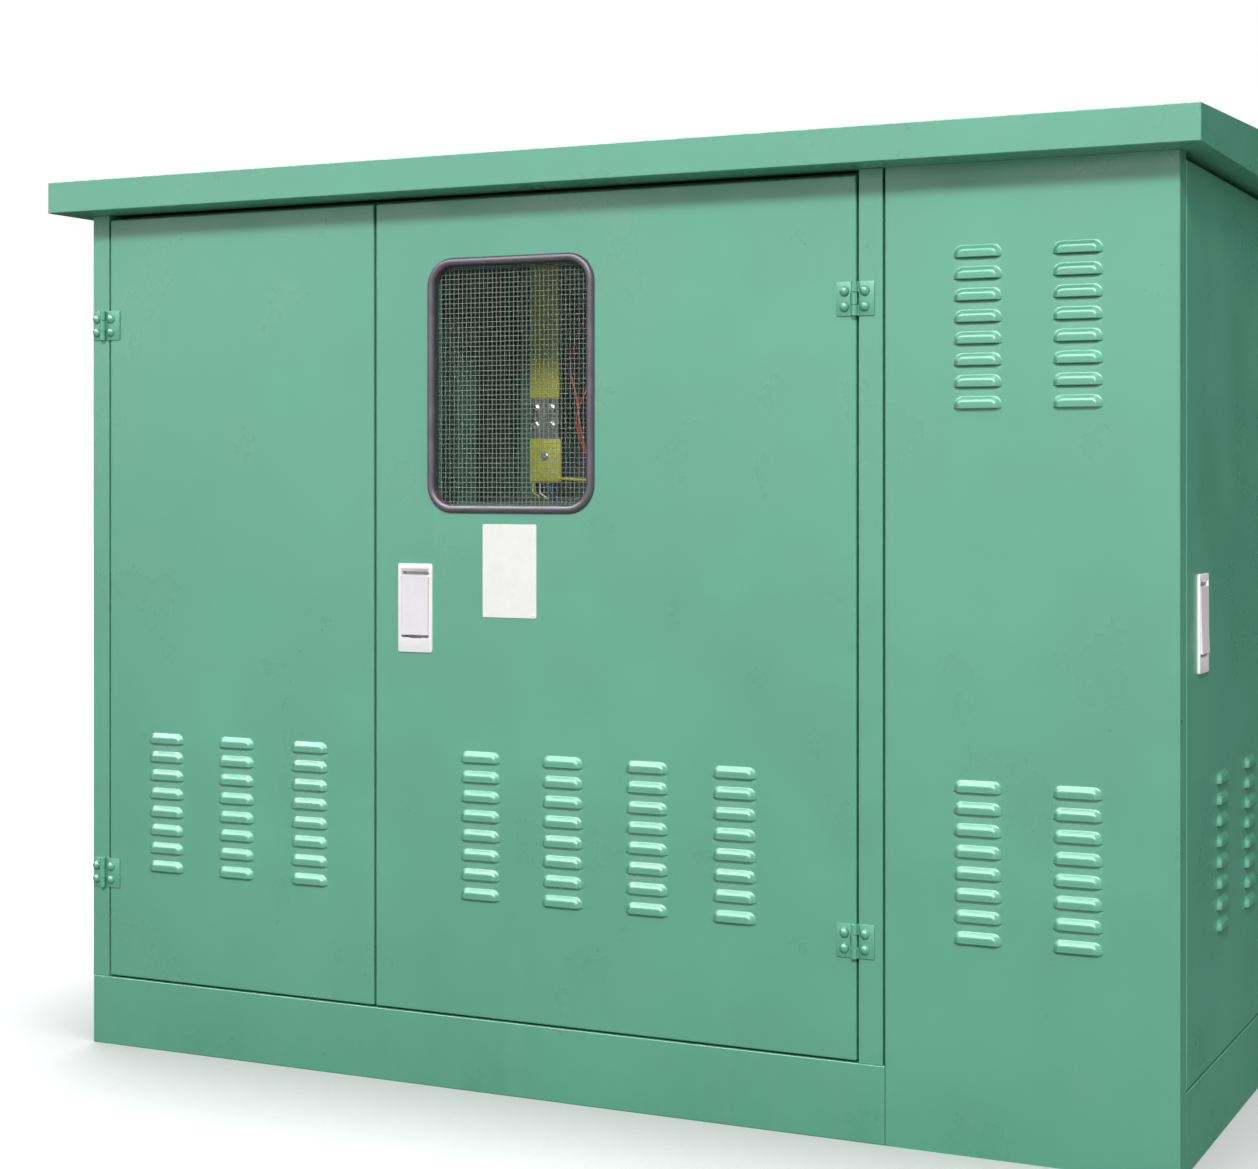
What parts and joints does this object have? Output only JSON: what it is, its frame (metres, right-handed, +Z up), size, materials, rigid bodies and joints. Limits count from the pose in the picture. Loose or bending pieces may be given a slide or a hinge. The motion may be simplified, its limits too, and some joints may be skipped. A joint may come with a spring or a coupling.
{
  "type": "pad-mounted transformer",
  "caption": "Pad-mounted transformer in a green sheet-steel enclosure with louvred doors, a meshed window, a gable roof, an oil tank and low-voltage switchgear.",
  "frame": {"origin": "middle of the footprint on the ground, under the middle of the roof", "axes": "+X to the right along the door front, +Y from the door front to the rear, +Z up"},
  "size_m": [2.406, 1.667, 1.856],
  "materials": {
    "enclosure_green": "satin powder coat",
    "plinth_green": "satin powder coat",
    "zinc_steel": "galvanised",
    "tank_grey": "satin paint",
    "core_steel": "laminated",
    "winding_paper": "varnished paper",
    "porcelain": "glazed",
    "handle_red": "satin",
    "gauge_black": "satin",
    "breaker_plastic": "moulded",
    "busbar_copper": "bare copper",
    "gasket_rubber": "moulded",
    "window_glass": "clear",
    "plate_white": "satin",
    "handle_white": "satin"
  },
  "bodies": {
    "root": {"front_louvre_panel": "enclosure_green", "left_side_panel": "enclosure_green", "rear_panel": "enclosure_green", "roof": "enclosure_green", "post_front_left": "enclosure_green", "post_mullion": "enclosure_green", "post_rear_right": "enclosure_green", "header_front": "enclosure_green", "compartment_partition": "enclosure_green", "hinge_hv_upper": "enclosure_green", "hinge_hv_lower": "enclosure_green", "hinge_lv_upper": "enclosure_green", "hinge_lv_lower": "enclosure_green", "hinge_side_upper": "enclosure_green", "hinge_side_lower": "enclosure_green", "base_frame": "plinth_green", "floor_plate": "zinc_steel", "lv_mounting_frame": "zinc_steel", "pressure_relief_valve": "zinc_steel", "drain_valve": "zinc_steel", "transformer_tank": "tank_grey", "tank_cover": "tank_grey", "radiator_rear": "tank_grey", "radiator_right": "tank_grey", "iron_core": "core_steel", "winding_1": "winding_paper", "winding_2": "winding_paper", "winding_3": "winding_paper", "hv_bushing_set": "porcelain", "lv_bushing_set": "porcelain", "oil_level_gauge": "gauge_black", "dial_thermometer": "gauge_black", "main_breaker": "breaker_plastic", "feeder_breaker_1": "breaker_plastic", "feeder_breaker_2": "breaker_plastic", "busbar_1": "busbar_copper", "busbar_2": "busbar_copper", "busbar_3": "busbar_copper", "busbar_4": "busbar_copper"},
    "hv_door": {"hv_door": "enclosure_green"},
    "lv_door": {"lv_door": "enclosure_green", "window_gasket": "gasket_rubber", "window_glass": "window_glass", "window_mesh": "zinc_steel", "nameplate": "plate_white", "lv_handle_frame": "handle_white"},
    "lv_lever": {"lv_handle_lever": "handle_white"},
    "lv_rod_top": {"lv_rod_top": "zinc_steel"},
    "lv_rod_bottom": {"lv_rod_bottom": "zinc_steel"},
    "side_door": {"side_door": "enclosure_green", "side_handle_frame": "handle_white"},
    "side_lever": {"side_handle_lever": "handle_white"},
    "switch_handle": {"switch_handle": "handle_red"},
    "tap_changer": {"tap_changer_handle": "gauge_black"},
    "fuse_1": {"fuse_holder_1": "breaker_plastic"},
    "fuse_2": {"fuse_holder_2": "breaker_plastic"},
    "fuse_3": {"fuse_holder_3": "breaker_plastic"},
    "main_toggle": {"main_toggle": "gauge_black"},
    "feeder_toggle_1": {"feeder_toggle_1": "gauge_black"},
    "feeder_toggle_2": {"feeder_toggle_2": "gauge_black"}
  },
  "joints": [
    {"name": "hv_door_hinge", "type": "hinge", "parent": "root", "child": "hv_door", "pos_m": [-1.12, -0.757, 0.9], "axis": [0, 0, -1], "range_deg": [0, 120]},
    {"name": "lv_door_hinge", "type": "hinge", "parent": "root", "child": "lv_door", "pos_m": [0.567, -0.757, 0.9], "axis": [0, 0, 1], "range_deg": [0, 120]},
    {"name": "side_door_hinge", "type": "hinge", "parent": "root", "child": "side_door", "pos_m": [1.157, 0.6965, 0.9], "axis": [0, 0, 1], "range_deg": [0, 120]},
    {"name": "lv_lever_lift", "type": "hinge", "parent": "lv_door", "child": "lv_lever", "pos_m": [-0.354, -0.753, 1.0025], "axis": [-1, 0, 0], "range_deg": [0, 60]},
    {"name": "lv_rod_top_slide", "type": "slide", "parent": "lv_door", "child": "lv_rod_top", "axis": [0, 0, -1], "range_m": [0, 0.02]},
    {"name": "lv_rod_bottom_slide", "type": "slide", "parent": "lv_door", "child": "lv_rod_bottom", "axis": [0, 0, 1], "range_m": [0, 0.02]},
    {"name": "side_lever_lift", "type": "hinge", "parent": "side_door", "child": "side_lever", "pos_m": [1.153, -0.576, 1.0025], "axis": [0, -1, 0], "range_deg": [0, 60]},
    {"name": "switch_turn", "type": "hinge", "parent": "root", "child": "switch_handle", "pos_m": [-0.86, -0.1403, 0.72], "axis": [0, 1, 0], "range_deg": [0, 90]},
    {"name": "tap_changer_turn", "type": "hinge", "parent": "root", "child": "tap_changer", "pos_m": [-0.86, -0.1353, 0.5], "axis": [0, 1, 0], "range_deg": [-60, 60]},
    {"name": "fuse_1_pull", "type": "slide", "parent": "root", "child": "fuse_1", "axis": [0, -1, 0], "range_m": [0, 0.25]},
    {"name": "fuse_2_pull", "type": "slide", "parent": "root", "child": "fuse_2", "axis": [0, -1, 0], "range_m": [0, 0.25]},
    {"name": "fuse_3_pull", "type": "slide", "parent": "root", "child": "fuse_3", "axis": [0, -1, 0], "range_m": [0, 0.25]},
    {"name": "main_toggle_flip", "type": "hinge", "parent": "root", "child": "main_toggle", "pos_m": [-0.058, -0.5343, 0.971], "axis": [-1, 0, 0], "range_deg": [0, 40]},
    {"name": "feeder_toggle_1_flip", "type": "hinge", "parent": "root", "child": "feeder_toggle_1", "pos_m": [-0.16, -0.4793, 0.646], "axis": [-1, 0, 0], "range_deg": [0, 40]},
    {"name": "feeder_toggle_2_flip", "type": "hinge", "parent": "root", "child": "feeder_toggle_2", "pos_m": [0.05, -0.4793, 0.646], "axis": [-1, 0, 0], "range_deg": [0, 40]}
  ],
  "couplings": [
    {"joint": "lv_rod_top_slide", "follows": "lv_lever_lift", "m_per_rad": 0.019},
    {"joint": "lv_rod_bottom_slide", "follows": "lv_lever_lift", "m_per_rad": 0.019}
  ]
}
